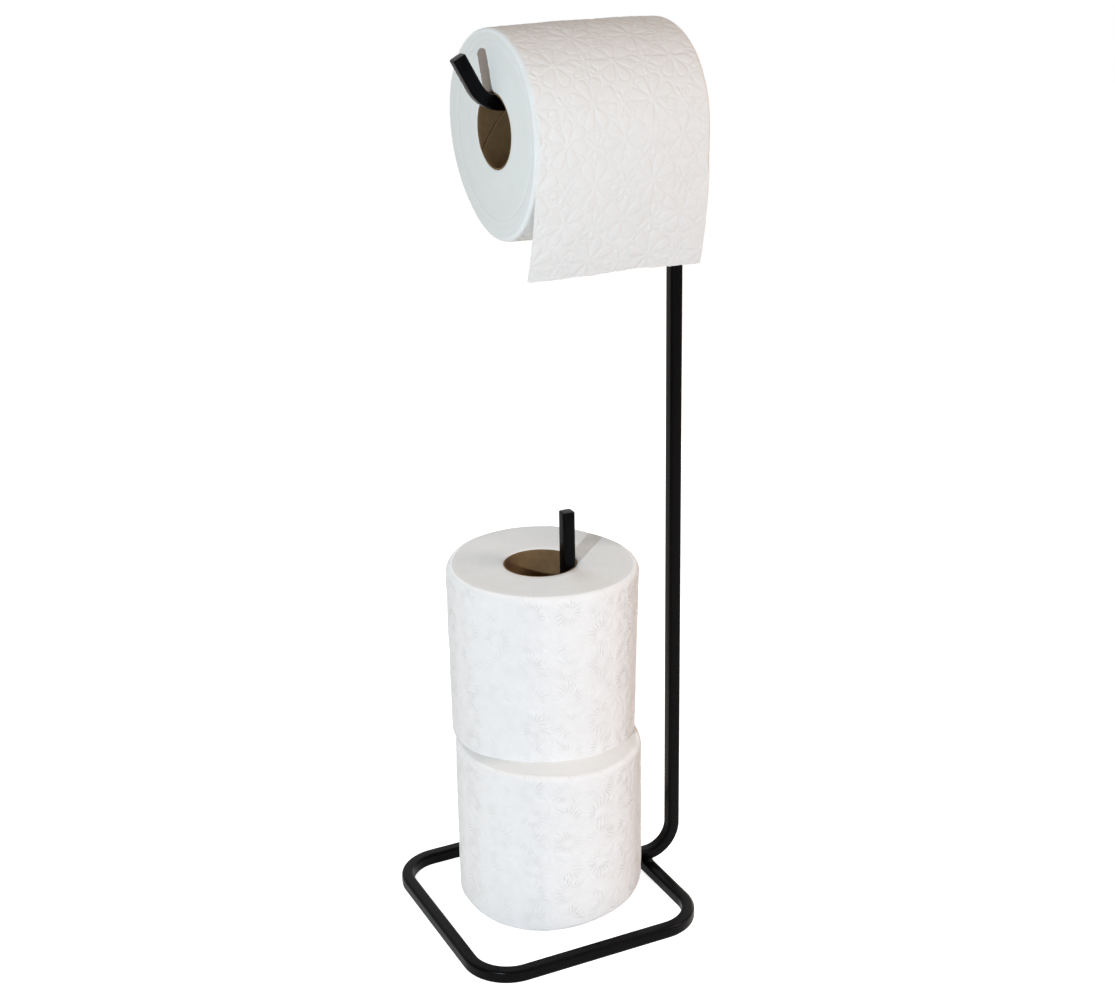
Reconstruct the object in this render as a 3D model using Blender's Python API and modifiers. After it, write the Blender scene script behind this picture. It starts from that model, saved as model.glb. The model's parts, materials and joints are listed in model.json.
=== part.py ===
# Freestanding toilet paper holder with its three rolls.
# One square steel bar is bent into foot, post, arm and an upturned tip. The foot lies on a closed square
# ring that stands on the floor, and carries an upright peg for two spare rolls.
# Metres, +Z up. The origin is on the floor below the middle of the outline. The arm runs along X, with
# the post on the right, and the loose end of the paper hangs on the -Y side of the roll in use.
import math

import bmesh
import bpy
from mathutils import Matrix, Vector

# Gap left between pieces that touch on the real object
seat_gap = 0.0003

# Square bar, the same for every steel piece
bar_side = 0.0076
bar_corner_radius = 0.0014
bar_end_round = 0.0004

# Base ring, outside sizes
ring_side = 0.1466
ring_corner_radius = 0.0278

# Main bar, bend radii to the bar's axis
post_outboard = 0.018
foot_bend_radius = 0.018
foot_past_peg = 0.0545
arm_height = 0.47595
arm_bend_radius = 0.018
tip_bend_radius = 0.017
tip_bend_inside_roll = 0.0046
tip_angle = math.radians(61)
tip_straight = 0.0178

# Peg for the spare rolls
peg_from_ring_centre = 0.0185
peg_top_height = 0.2466

# Weld beads, a fillet of two equal legs
bead_leg = 0.0024
bead_crown_power = 1.5
bead_face_steps = 4

# Toilet rolls
roll_width = 0.0996
core_wall = 0.0009
core_recess = 0.0002
paper_thickness = 0.0004
outer_edge_round = 0.0014
inner_edge_chamfer = 0.0005
spare_core_outside_diameter = 0.0424
lower_spare_diameter = 0.1088
lower_spare_lean_angle = math.radians(190)
lower_spare_tail_angle = math.radians(95)
upper_spare_diameter = 0.1109
upper_spare_lean_angle = math.radians(131.8)
upper_spare_tail_angle = math.radians(60)
hung_core_outside_diameter = 0.0398
hung_winding_diameter = 0.1044
hung_roll_to_post = 0.004

# Loose end of the paper, hanging in front of the roll in use
sheet_drop = 0.0713
sheet_lean = 0.003
sheet_curl = 0.010
sheet_curl_power = 2.6
sheet_skew = 0.0018
sheet_ripple = 0.0007
sheet_ripples_across = 1.5

# Facets
bend_step = math.radians(7.5)
corner_step = math.radians(22.5)
round_steps = 72
edge_steps = 3
sheet_turn_steps = 48
sheet_drop_steps = 14
sheet_width_steps = 8

# Places that follow from the sizes above
ring_axis_half = (ring_side - bar_side) / 2
ring_axis_radius = ring_corner_radius - bar_side / 2
ring_x = -post_outboard / 2
post_x = ring_x + ring_axis_half + post_outboard
peg_x = ring_x + peg_from_ring_centre
foot_z = bar_side + seat_gap + bar_side / 2
foot_top = foot_z + bar_side / 2
foot_end_x = peg_x - foot_past_peg
bar_flat_half = bar_side / 2 - bar_corner_radius
spare_core_inside_radius = spare_core_outside_diameter / 2 - core_wall
hung_core_inside_radius = hung_core_outside_diameter / 2 - core_wall
layer_step = paper_thickness + seat_gap

hung_roll_right = post_x - bar_side / 2 - hung_roll_to_post
hung_roll_left = hung_roll_right - roll_width
tip_bend_x = hung_roll_left + tip_bend_inside_roll
# The core rests where the top of the bar starts to climb into the tip.
tip_top_radius = tip_bend_radius - bar_side / 2
tip_climb = tip_top_radius - math.sqrt(tip_top_radius**2 - tip_bend_inside_roll**2)
hung_seat_z = arm_height + bar_side / 2 + tip_climb + seat_gap
hung_roll_z = hung_seat_z - math.sqrt(hung_core_inside_radius**2 - bar_flat_half**2)

lower_spare_z = foot_top + seat_gap
upper_spare_z = lower_spare_z + roll_width + seat_gap


def clear_scene():
    for old in list(bpy.data.objects):
        bpy.data.objects.remove(old)


def new_collection(name):
    made = bpy.data.collections.new(name)
    bpy.context.scene.collection.children.link(made)
    return made


def finish(name, colour, roughness, metallic=0.0):
    made = bpy.data.materials.new(name)
    made.use_nodes = True
    shader = made.node_tree.nodes["Principled BSDF"]
    shader.inputs["Base Color"].default_value = (*colour, 1)
    shader.inputs["Roughness"].default_value = roughness
    shader.inputs["Metallic"].default_value = metallic
    made.diffuse_color = (*colour, 1)
    return made


def add_object(name, data, material, parent=None):
    made = bpy.data.objects.new(name, data)
    holder_collection.objects.link(made)
    data.materials.append(material)
    made.parent = parent
    return made


def add_axis(name, location, parent=None):
    """An empty on a joint's axis. Its location is given in the world."""
    made = bpy.data.objects.new(name, None)
    holder_collection.objects.link(made)
    made.parent = parent
    made.location = Vector(location) - (parent.location if parent else Vector())
    return made


def smooth(mesh, sharp_from=math.radians(40)):
    mesh.shade_smooth()
    mesh.set_sharp_from_angle(angle=sharp_from)


def bent_path(corners, radius, closed, step):
    """The points of straight runs joined by arcs, from the corners where the runs would meet.
    radius is one value for all corners, or one for each inner corner of an open path."""
    count = len(corners)
    points = []
    for i, corner in enumerate(corners):
        if not closed and i in (0, count - 1):
            points.append(corner)
            continue
        before = (corner - corners[i - 1]).normalized()
        after = (corners[(i + 1) % count] - corner).normalized()
        bend = radius if closed else radius[i - 1]
        turn = before.angle(after)
        axis = before.cross(after).normalized()
        start = corner - before * bend * math.tan(turn / 2)
        centre = start + axis.cross(before) * bend
        steps = max(2, round(turn / step))
        for k in range(steps + 1):
            swing = Matrix.Rotation(turn * k / steps, 3, axis)
            points.append(centre + swing @ (start - centre))
    return points


def add_poly_spline(curve, points, closed):
    spline = curve.splines.new("POLY")
    spline.points.add(len(points) - 1)
    for place, point in zip(spline.points, points):
        place.co = (*point, 1)
    spline.use_cyclic_u = closed


def bar_section():
    """The bar's rounded square, as the flat curve that the bars carry along their axes."""
    half = bar_side / 2
    corners = [Vector((x * half, y * half, 0)) for x, y in ((1, 1), (1, -1), (-1, -1), (-1, 1))]
    curve = bpy.data.curves.new("bar_section", "CURVE")
    curve.dimensions = "2D"
    curve.fill_mode = "NONE"
    add_poly_spline(curve, bent_path(corners, bar_corner_radius, True, corner_step), True)
    made = bpy.data.objects.new("bar_section", curve)
    guides.objects.link(made)
    made.hide_render = True
    made.display_type = "WIRE"
    return made


def add_bar(name, points, closed, section):
    """A square bar along points. The rims of its cut ends are rounded a little."""
    curve = bpy.data.curves.new(name, "CURVE")
    curve.dimensions = "3D"
    curve.twist_mode = "MINIMUM"
    curve.bevel_mode = "OBJECT"
    curve.bevel_object = section
    curve.use_fill_caps = not closed
    add_poly_spline(curve, points, closed)
    made = add_object(name, curve, powder_coat)
    if not closed:
        weld = made.modifiers.new("join_caps", "WELD")
        weld.merge_threshold = 0.00001
        rim = made.modifiers.new("round_ends", "BEVEL")
        rim.width = bar_end_round
        rim.segments = 2
        rim.limit_method = "ANGLE"
        rim.angle_limit = math.radians(60)
    return made


def add_base_ring(section):
    half = ring_axis_half
    corners = [
        Vector((ring_x + x * half, y * half, bar_side / 2))
        for x, y in ((1, 1), (-1, 1), (-1, -1), (1, -1))
    ]
    return add_bar("base_ring", bent_path(corners, ring_axis_radius, True, bend_step), True, section)


def add_main_bar(section):
    """Foot, post, arm and tip in one bar. The tip's corner is where arm and tip would meet unbent."""
    tip_tangent = tip_bend_radius * math.tan(tip_angle / 2)
    tip_corner = Vector((tip_bend_x - tip_tangent, 0, arm_height))
    tip_direction = Vector((-math.cos(tip_angle), 0, math.sin(tip_angle)))
    corners = [
        Vector((foot_end_x, 0, foot_z)),
        Vector((post_x, 0, foot_z)),
        Vector((post_x, 0, arm_height)),
        tip_corner,
        tip_corner + tip_direction * (tip_tangent + tip_straight),
    ]
    radii = (foot_bend_radius, arm_bend_radius, tip_bend_radius)
    return add_bar("main_bar", bent_path(corners, radii, False, bend_step), False, section)


def add_peg(section):
    ends = [Vector((peg_x, 0, foot_top + seat_gap)), Vector((peg_x, 0, peg_top_height))]
    return add_bar("spindle", ends, False, section)


def add_weld_bead(name, corner, first_leg, second_leg):
    """A fillet with a crowned face, in the corner between two flat sides of the bars."""
    first, second = Vector(first_leg), Vector(second_leg)
    outline = [Vector()]
    for k in range(bead_face_steps + 1):
        swing = math.pi / 2 * k / bead_face_steps
        x = bead_leg * max(0, math.cos(swing)) ** bead_crown_power
        y = bead_leg * math.sin(swing) ** bead_crown_power
        outline.append(Vector((x, y, 0)))
    curve = bpy.data.curves.new(name, "CURVE")
    curve.dimensions = "2D"
    curve.fill_mode = "BOTH"
    curve.extrude = bar_flat_half
    add_poly_spline(curve, outline, True)
    made = add_object(name, curve, powder_coat)
    axes = Matrix((first, second, first.cross(second))).transposed()
    made.matrix_world = Matrix.Translation(corner + (first + second) * seat_gap) @ axes.to_4x4()
    return made


def add_welds():
    """Two beads fix the foot to the ring's right rail. One fixes the peg to the foot, on the side where
    the bore of the roll leaves room for it."""
    rail_x = ring_x + ring_axis_half
    for name, side in (("foot_weld_front", -1), ("foot_weld_rear", 1)):
        corner = Vector((rail_x, side * bar_side / 2, bar_side))
        add_weld_bead(name, corner, (0, side, 0), (0, 0, 1))
    corner = Vector((peg_x - bar_side / 2, 0, foot_top))
    add_weld_bead("spindle_weld", corner, (-1, 0, 0), (0, 0, 1))


def turned(name, profile, material, parent):
    """A closed profile of (radius, height) points, turned about the Z axis."""
    mesh = bpy.data.meshes.new(name)
    vertices = [(radius, 0, height) for radius, height in profile]
    edges = [(k, (k + 1) % len(profile)) for k in range(len(profile))]
    mesh.from_pydata(vertices, edges, [])
    made = add_object(name, mesh, material, parent)
    screw = made.modifiers.new("turn", "SCREW")
    screw.steps = screw.render_steps = round_steps
    screw.use_merge_vertices = True
    screw.merge_threshold = 0.00001
    screw.use_smooth_shade = True
    return made


def core_profile(outside):
    inside = outside - core_wall
    low, high = core_recess, roll_width - core_recess
    return [(outside, high), (outside, low), (inside, low), (inside, high)]


def winding_profile(core_outside, outside):
    """The cut face of the wound paper, from the top of its outer side round to the top of the bore."""
    inside, top = core_outside + seat_gap, roll_width
    points = []
    for middle_z, first in ((top - outer_edge_round, 90), (outer_edge_round, 0)):
        for k in range(edge_steps + 1):
            swing = math.radians(first - 90 * k / edge_steps)
            points.append(
                (
                    outside - outer_edge_round + outer_edge_round * math.cos(swing),
                    middle_z + outer_edge_round * math.sin(swing),
                )
            )
    points += [
        (inside + inner_edge_chamfer, 0),
        (inside, inner_edge_chamfer),
        (inside, top - inner_edge_chamfer),
        (inside + inner_edge_chamfer, top),
    ]
    return points


def add_core(name, diameter, parent):
    return turned(name, core_profile(diameter / 2), cardboard, parent)


def add_spare_winding(name, diameter, tail_angle, parent):
    """Wound paper whose last turn climbs by one layer, so that its loose end stands out as a step.
    A profile is set at every angle, with its outer side a little further out each time."""
    shape = bmesh.new()
    stations = []
    for k in range(round_steps + 1):
        turned_share = k / round_steps
        swing = tail_angle + 2 * math.pi * turned_share
        outside = diameter / 2 - paper_thickness * (1 - turned_share)
        stations.append(
            [
                shape.verts.new((radius * math.cos(swing), radius * math.sin(swing), height))
                for radius, height in winding_profile(spare_core_outside_diameter / 2, outside)
            ]
        )
    size = len(stations[0])
    for first, second in zip(stations, stations[1:] + stations[:1]):
        for k in range(size):
            after = (k + 1) % size
            shape.faces.new((first[k], first[after], second[after], second[k]))
    bmesh.ops.remove_doubles(shape, verts=shape.verts, dist=0.000001)
    bmesh.ops.recalc_face_normals(shape, faces=shape.faces)
    mesh = bpy.data.meshes.new(name)
    shape.to_mesh(mesh)
    shape.free()
    smooth(mesh)
    return add_object(name, mesh, tissue, parent)


def lean_place(angle):
    """Where a spare roll's middle lies when its core leans on the nearest corner of the peg."""
    towards_peg = Vector((-math.cos(angle), -math.sin(angle)))
    corner = Vector((math.copysign(bar_flat_half, towards_peg.x), math.copysign(bar_flat_half, towards_peg.y)))
    reach = spare_core_inside_radius - seat_gap - bar_corner_radius
    aside = corner.cross(towards_peg)
    distance = math.sqrt(reach**2 - aside**2) - corner.dot(towards_peg)
    middle = Vector((peg_x, 0)) - towards_peg * distance
    return middle.x, middle.y


def add_spare_rolls():
    parent = None
    for name, height, diameter, lean, tail in (
        ("lower_spare", lower_spare_z, lower_spare_diameter, lower_spare_lean_angle, lower_spare_tail_angle),
        ("upper_spare", upper_spare_z, upper_spare_diameter, upper_spare_lean_angle, upper_spare_tail_angle),
    ):
        middle_x, middle_y = lean_place(lean)
        lift = bpy.data.objects.new(name + "_lift", None)
        holder_collection.objects.link(lift)
        lift.location = (middle_x, middle_y, height)
        if parent:
            lift.parent = parent
            lift.location -= parent.location
        parent = lift
        add_core(name + "_core", spare_core_outside_diameter, lift)
        add_spare_winding(name + "_winding", diameter, tail, lift)


def sheet_point(width_share, along):
    """A point on the loose layer of paper. along runs from 0 to 1 once round the roll, spiralling out by
    one layer over its own start, and from 1 to 2 down the hanging end. The sheet hangs from the foremost
    point of the roll, leans in a little and curls in towards its cut edge."""
    start_radius = hung_winding_diameter / 2 + seat_gap + paper_thickness / 2
    x = hung_roll_left + roll_width * width_share
    if along <= 1:
        radius = start_radius + layer_step * along
        swing = math.pi + 2 * math.pi * along
        return Vector((x, radius * math.cos(swing), hung_roll_z + radius * math.sin(swing)))
    down = along - 1
    across = 2 * width_share - 1
    inward = sheet_lean * down + (sheet_curl - sheet_skew * across) * down**sheet_curl_power
    ripple = sheet_ripple * down * math.sin(2 * math.pi * sheet_ripples_across * width_share)
    y = -(start_radius + layer_step) + inward + ripple
    return Vector((x, y, hung_roll_z - sheet_drop * down))


def add_hanging_sheet(parent):
    """The outermost layer of the roll in use: once round the roll, then straight down in front of it."""
    shape = bmesh.new()
    rows = sheet_turn_steps + sheet_drop_steps
    bmesh.ops.create_grid(shape, x_segments=sheet_width_steps, y_segments=rows, size=1)
    for vertex in shape.verts:
        row = (vertex.co.y + 1) / 2 * rows
        if row <= sheet_turn_steps:
            along = row / sheet_turn_steps
        else:
            along = 1 + (row - sheet_turn_steps) / sheet_drop_steps
        vertex.co = sheet_point((vertex.co.x + 1) / 2, along) - parent.matrix_world.translation
    mesh = bpy.data.meshes.new("hanging_sheet")
    shape.to_mesh(mesh)
    shape.free()
    mesh.shade_smooth()
    made = add_object("hanging_sheet", mesh, tissue, parent)
    wall = made.modifiers.new("thickness", "SOLIDIFY")
    wall.thickness = paper_thickness
    wall.offset = 0
    return made


def add_hung_roll():
    """The roll in use lies on its side on the arm. Its pieces are turned about Z, then laid along +X."""
    middle = (hung_roll_left + roll_width / 2, 0, hung_roll_z)
    lift = add_axis("hung_roll_lift", middle)
    turn = add_axis("hung_roll_turn", middle, lift)
    bpy.context.view_layer.update()
    add_hanging_sheet(lift)
    profile = winding_profile(hung_core_outside_diameter / 2, hung_winding_diameter / 2)
    winding = turned("hung_winding", profile, tissue, turn)
    for piece in (add_core("hung_core", hung_core_outside_diameter, turn), winding):
        piece.rotation_euler = (0, math.pi / 2, 0)
        piece.location.x = -roll_width / 2


clear_scene()
holder_collection = new_collection("freestanding_toilet_paper_holder")
guides = new_collection("guides")
powder_coat = finish("black_powder_coat", (0.009, 0.010, 0.011), 0.38)
tissue = finish("embossed_tissue", (0.80, 0.79, 0.78), 0.92)
cardboard = finish("core_cardboard", (0.19, 0.125, 0.07), 0.88)
bar_profile = bar_section()
add_base_ring(bar_profile)
add_main_bar(bar_profile)
add_peg(bar_profile)
add_welds()
add_spare_rolls()
add_hung_roll()
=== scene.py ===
import json
import math
from functools import partial

import bmesh
import bpy
import numpy as np
from mathutils import Matrix, Vector


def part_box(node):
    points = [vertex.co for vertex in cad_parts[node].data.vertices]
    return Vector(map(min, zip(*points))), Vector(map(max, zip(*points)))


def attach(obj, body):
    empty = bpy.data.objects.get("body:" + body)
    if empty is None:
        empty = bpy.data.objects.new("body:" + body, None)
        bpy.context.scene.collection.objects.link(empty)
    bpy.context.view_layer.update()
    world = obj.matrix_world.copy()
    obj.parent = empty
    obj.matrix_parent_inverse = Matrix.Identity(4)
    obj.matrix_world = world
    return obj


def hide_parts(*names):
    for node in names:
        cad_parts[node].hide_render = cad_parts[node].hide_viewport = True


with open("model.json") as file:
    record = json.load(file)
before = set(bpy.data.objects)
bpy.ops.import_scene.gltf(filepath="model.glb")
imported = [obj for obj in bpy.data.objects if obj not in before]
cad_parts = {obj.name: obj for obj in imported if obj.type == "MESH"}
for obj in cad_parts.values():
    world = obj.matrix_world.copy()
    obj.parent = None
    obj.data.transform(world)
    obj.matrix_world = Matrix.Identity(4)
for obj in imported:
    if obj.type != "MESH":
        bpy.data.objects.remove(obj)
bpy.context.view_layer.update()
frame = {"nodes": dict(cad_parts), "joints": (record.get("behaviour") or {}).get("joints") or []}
nodes = frame["nodes"]
print("frame loaded:", len(nodes), "nodes")

mm = 0.001
fullTurn = 2 * math.pi


# Helpers for colours, nodes and meshes

def toLinear(hexColour):
    # sRGB hex to the linear RGBA that colour sockets expect
    srgb = np.array([int(hexColour[i:i + 2], 16) for i in (1, 3, 5)]) / 255
    linear = np.where(srgb <= 0.04045, srgb / 12.92, ((srgb + 0.055) / 1.055) ** 2.4)
    return (*linear.tolist(), 1.0)


def addNode(tree, kind, settings=None, links=None):
    # settings holds node properties and socket values, links what feeds its sockets: an output, or a node for
    # its first output
    node = tree.nodes.new("ShaderNode" + kind)
    for key, value in (settings or {}).items():
        if isinstance(key, str) and key in node.bl_rna.properties:
            setattr(node, key, value)
        else:
            node.inputs[key].default_value = value
    for key, source in (links or {}).items():
        tree.links.new(getattr(source, "outputs", [source])[0], node.inputs[key])
    return node


def makeFinish(name, surface, look):
    # surface is given addNode for the material's tree and the look, and returns the shader
    made = bpy.data.materials.new(name)
    made.use_nodes = True
    made.node_tree.nodes.clear()
    add = partial(addNode, made.node_tree)
    add("OutputMaterial", None, {"Surface": surface(add, look)})
    return made


def between(ends, share):
    return ends[0] + (ends[1] - ends[0]) * share


def gridFaces(rows, columns, closeRows=False, closeColumns=False):
    # Quads between the neighbours of a grid of rows x columns points. A closed direction joins last to first
    i = np.arange(rows if closeRows else rows - 1)[:, None]
    j = np.arange(columns if closeColumns else columns - 1)[None, :]
    below, beside = (i + 1) % rows, (j + 1) % columns
    corners = [i * columns + j, i * columns + beside, below * columns + beside, below * columns + j]
    return np.stack(np.broadcast_arrays(*corners), -1).reshape(-1, 4)


def addObject(name, data):
    made = bpy.data.objects.new(name, data)
    bpy.context.scene.collection.objects.link(made)
    return made


def makePiece(name, points, faces, finishes, sharpFrom=180, paper=None, pressed=None, finishOf=None):
    # points is (..., 3) and faces are quads. paper holds each point's own place on the paper, and pressed how
    # strongly a pressed line runs there, for the finishes' painted shade. finishOf is each face's place in
    # finishes
    points = points.reshape(-1, 3)
    mesh = bpy.data.meshes.new(name)
    mesh.vertices.add(len(points))
    mesh.vertices.foreach_set("co", points.astype(np.float32).ravel())
    mesh.loops.add(faces.size)
    mesh.loops.foreach_set("vertex_index", faces.astype(np.int32).ravel())
    mesh.polygons.add(len(faces))
    mesh.polygons.foreach_set("loop_start", np.arange(0, faces.size, 4, dtype=np.int32))
    if finishOf is not None:
        mesh.polygons.foreach_set("material_index", finishOf.astype(np.int32))
    mesh.update(calc_edges=True)
    for label, kind, key, values in (("paperPlace", "FLOAT_VECTOR", "vector", paper),
                                     ("pressed", "FLOAT", "value", pressed)):
        if values is not None:
            held = mesh.attributes.new(label, kind, "POINT").data
            held.foreach_set(key, values.astype(np.float32).ravel())
    mesh.shade_smooth()
    if sharpFrom < 180:
        mesh.set_sharp_from_angle(angle=math.radians(sharpFrom))
    for finish in finishes:
        mesh.materials.append(finish)
    return addObject(name, mesh)


def closePoles(piece):
    # Merges the points that meet at a pole, so that the surface is closed there
    shape = bmesh.new()
    shape.from_mesh(piece.data)
    bmesh.ops.remove_doubles(shape, verts=shape.verts, dist=1e-7)
    shape.to_mesh(piece.data)
    shape.free()


def place(piece, body, slot, *replaced):
    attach(piece, body)
    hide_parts(*replaced)


# Finishes

powderCoat = {
    "colour": "#050506",
    "roughness": (0.22, 0.34),  # least and most: it varies over a coat that has been handled
    "handledSize": 35 * mm,
    "specular": 0.09,
    "peelSize": 0.9 * mm,       # the skin's orange peel
    "peelDepth": 0.012 * mm,
    "grainSize": 0.12 * mm,     # single cured grains
    "grainDepth": 0.004 * mm,
}


def coatSurface(add, look):
    # Black polyester powder, sprayed on and cured: a closed, slightly rippled skin with a satin gloss
    here = add("TexCoord").outputs["Object"]
    peel, grain, handled = (
        add("TexNoise", {"Scale": 1 / look[size], "Detail": detail}, {"Vector": here})
        for size, detail in (("peelSize", 1.5), ("grainSize", 0.0), ("handledSize", 3.0)))
    least, most = look["roughness"]
    rough = add("MapRange", {"To Min": least, "To Max": most}, {"Value": handled})
    coarse = add("Bump", {"Distance": look["peelDepth"]}, {"Height": peel})
    fine = add("Bump", {"Distance": look["grainDepth"]}, {"Height": grain, "Normal": coarse})
    skin = {"Base Color": toLinear(look["colour"]), "IOR": 1.5, "Specular IOR Level": look["specular"]}
    return add("BsdfPrincipled", skin, {"Roughness": rough, "Normal": fine})


tissue = {
    "colour": "#ebeae9",
    "shade": "#e4e2df",         # where the pulp lies thinner
    "crepeLength": 0.55 * mm,   # crepe folds, drawn about twice as coarse as real ones so that they show
    "crepeWidth": 4.0 * mm,
    "crepeDepth": 0.035 * mm,
    "fibreSize": 0.35 * mm,
    "fibreDepth": 0.02 * mm,
    "cloudSize": 9 * mm,        # cloudy spread of the pulp
    "fluff": 0.15,              # how much the loose fibres even out the light
    # fine pressed veins in fans: size of a fan's cell along and across the paper, and how wavy they are
    "veinCell": (20.5 * mm, 16.6 * mm),
    "veinCount": 19,
    "veinWave": 4 * mm,
    "veinWaveLength": 9 * mm,
    "veinFrom": 0.55,           # the cosine from which a vein's crest rises
    "fanMiddle": (0.12, 0.24),  # shares of the cell's length over which veins come up from a fan's middle
    "fanRim": (0.52, 0.3),      # and from its rim
    "veinPatch": 14 * mm,
    "patchEdge": (0.36, 0.56),  # noise values over which a patch with veins begins
    "veinDepth": 0.05 * mm,
    "veinShade": 0.006,         # painted highlight: the share of light that a vein's raised crest gains
    "lineShade": 0.02,          # painted shade: the share of light that a pressed line loses, in part for the denser pressed paper
}


def fanVeins(add, look, onPaper, here):
    # Crests of the cosine of a whole multiple of the angle about the middle of each cell of a grid. They fade
    # out towards the middle and the rim, show in patches, and lie on coordinates that a noise pushes aside
    along, across = look["veinCell"]
    push = add("TexNoise", {"Scale": 1 / look["veinWaveLength"], "Detail": 1.0}, {"Vector": here})
    pushed = add("VectorMath", {"operation": "MULTIPLY_ADD", 1: (look["veinWave"],) * 3},
                 {0: push.outputs["Color"], 2: onPaper})
    cells = add("VectorMath", {"operation": "MULTIPLY", 1: (1 / along, 1 / across, 0)}, {0: pushed})
    inCell = add("VectorMath", {"operation": "FRACTION"}, {0: cells})
    toMiddle = (-along / 2, -across / 2, 0)
    middle = add("VectorMath", {"operation": "MULTIPLY_ADD", 1: (along, across, 0), 2: toMiddle}, {0: inCell})
    sides = add("SeparateXYZ", None, {0: middle})
    angle = add("Math", {"operation": "ARCTAN2"}, {0: sides.outputs["Y"], 1: sides.outputs["X"]})
    multiple = add("Math", {"operation": "MULTIPLY", 1: look["veinCount"]}, {0: angle})
    ray = add("Math", {"operation": "COSINE"}, {0: multiple})
    smooth = {"interpolation_type": "SMOOTHSTEP"}
    veins = add("MapRange", {**smooth, "From Min": look["veinFrom"]}, {"Value": ray})
    reach = add("VectorMath", {"operation": "LENGTH"}, {0: middle}).outputs["Value"]
    for none, full in (look["fanRim"], look["fanMiddle"]):
        span = {**smooth, "From Min": none * along, "From Max": full * along}
        fade = add("MapRange", span, {"Value": reach})
        veins = add("Math", {"operation": "MULTIPLY"}, {0: veins, 1: fade})
    patches = add("TexNoise", {"Scale": 1 / look["veinPatch"], "Detail": 1.0}, {"Vector": here})
    none, full = look["patchEdge"]
    inPatch = add("MapRange", {"From Min": none, "From Max": full}, {"Value": patches})
    return add("Math", {"operation": "MULTIPLY"}, {0: veins, 1: inPatch})


def tissueSurface(add, look):
    # Creped wet-laid paper: matt and soft, with fine folds across its length
    onPaper = add("Attribute", {"attribute_name": "paperPlace"}).outputs["Vector"]
    here = add("TexCoord").outputs["Object"]
    foldScale = (1 / look["crepeLength"], 1 / look["crepeWidth"], 1 / look["crepeLength"])
    stretched = add("Mapping", {"Scale": foldScale}, {"Vector": onPaper})
    crepe = add("TexNoise", {"Scale": 1.0, "Detail": 2.0, "Roughness": 0.6}, {"Vector": stretched})
    fibres = add("TexNoise", {"Scale": 1 / look["fibreSize"], "Detail": 2.0}, {"Vector": here})
    cloud = add("TexNoise", {"Scale": 1 / look["cloudSize"], "Detail": 4.0}, {"Vector": here})
    pulp = add("Mix", {"data_type": "RGBA", 6: toLinear(look["shade"]), 7: toLinear(look["colour"])},
               {0: cloud})
    veins = fanVeins(add, look, onPaper, here)
    # painted shade darkens the pressed lines, in part for the denser pressed paper, and a painted highlight
    # lightens the veins' raised crests
    pressed = add("Attribute", {"attribute_name": "pressed"}).outputs["Fac"]
    lines = add("Math", {"operation": "MULTIPLY_ADD", 1: -look["lineShade"], 2: 1.0}, {0: pressed})
    shaded = add("Math", {"operation": "MULTIPLY_ADD", 1: look["veinShade"]}, {0: veins, 2: lines})
    tint = add("VectorMath", {"operation": "SCALE"}, {0: pulp.outputs[2], "Scale": shaded})
    veined = add("Bump", {"Distance": look["veinDepth"]}, {"Height": veins})
    folds = add("Bump", {"Distance": look["crepeDepth"]}, {"Height": crepe, "Normal": veined})
    fuzz = add("Bump", {"Distance": look["fibreDepth"]}, {"Height": fibres, "Normal": folds})
    matt = {"Roughness": 0.95, "Diffuse Roughness": look["fluff"], "Specular IOR Level": 0.15,
            "Sheen Weight": 0.08, "Sheen Roughness": 0.6, "IOR": 1.47}
    return add("BsdfPrincipled", matt, {"Base Color": tint, "Normal": fuzz})


cutPaper = {
    "colour": "#e6e6e4",
    "shade": "#dddcd9",
    "turnPitch": 0.8 * mm,     # the turns' edges, drawn about twice as coarse as real ones so that they show
    "turnChange": 60 * mm,     # distance round the roll over which the turns' order changes
    "turnDepth": 0.026 * mm,
    "fibreSize": 0.3 * mm,
    "fibreDepth": 0.03 * mm,
}


def cutSurface(add, look):
    # The sawn end of a roll: hundreds of paper edges side by side, with faint rings where turns stand out
    onPaper = add("Attribute", {"attribute_name": "paperPlace"}).outputs["Vector"]
    here = add("TexCoord").outputs["Object"]
    outward = add("Mapping", {"Scale": (0, 0, 1 / look["turnPitch"])}, {"Vector": onPaper})
    around = add("Mapping", {"Scale": (1 / look["turnChange"],) * 3}, {"Vector": here})
    stretched = add("VectorMath", {"operation": "ADD"}, {0: outward, 1: around})
    turns = add("TexNoise", {"Scale": 1.0, "Detail": 2.5, "Roughness": 0.6}, {"Vector": stretched})
    fibres = add("TexNoise", {"Scale": 1 / look["fibreSize"], "Detail": 2.0}, {"Vector": here})
    tint = add("Mix", {"data_type": "RGBA", 6: toLinear(look["shade"]), 7: toLinear(look["colour"])},
               {0: turns})
    rings = add("Bump", {"Distance": look["turnDepth"]}, {"Height": turns})
    fuzz = add("Bump", {"Distance": look["fibreDepth"]}, {"Height": fibres, "Normal": rings})
    matt = {"Roughness": 0.97, "Specular IOR Level": 0.12, "Sheen Weight": 0.06, "Sheen Roughness": 0.6,
            "IOR": 1.47}
    return add("BsdfPrincipled", matt, {"Base Color": tint.outputs[2], "Normal": fuzz})


cardboard = {
    "light": "#866c4c",
    "dark": "#523e2a",
    "fibreSize": 0.5 * mm,
    "mottleSize": 4 * mm,
    "fibreDepth": 0.03 * mm,
}


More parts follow.
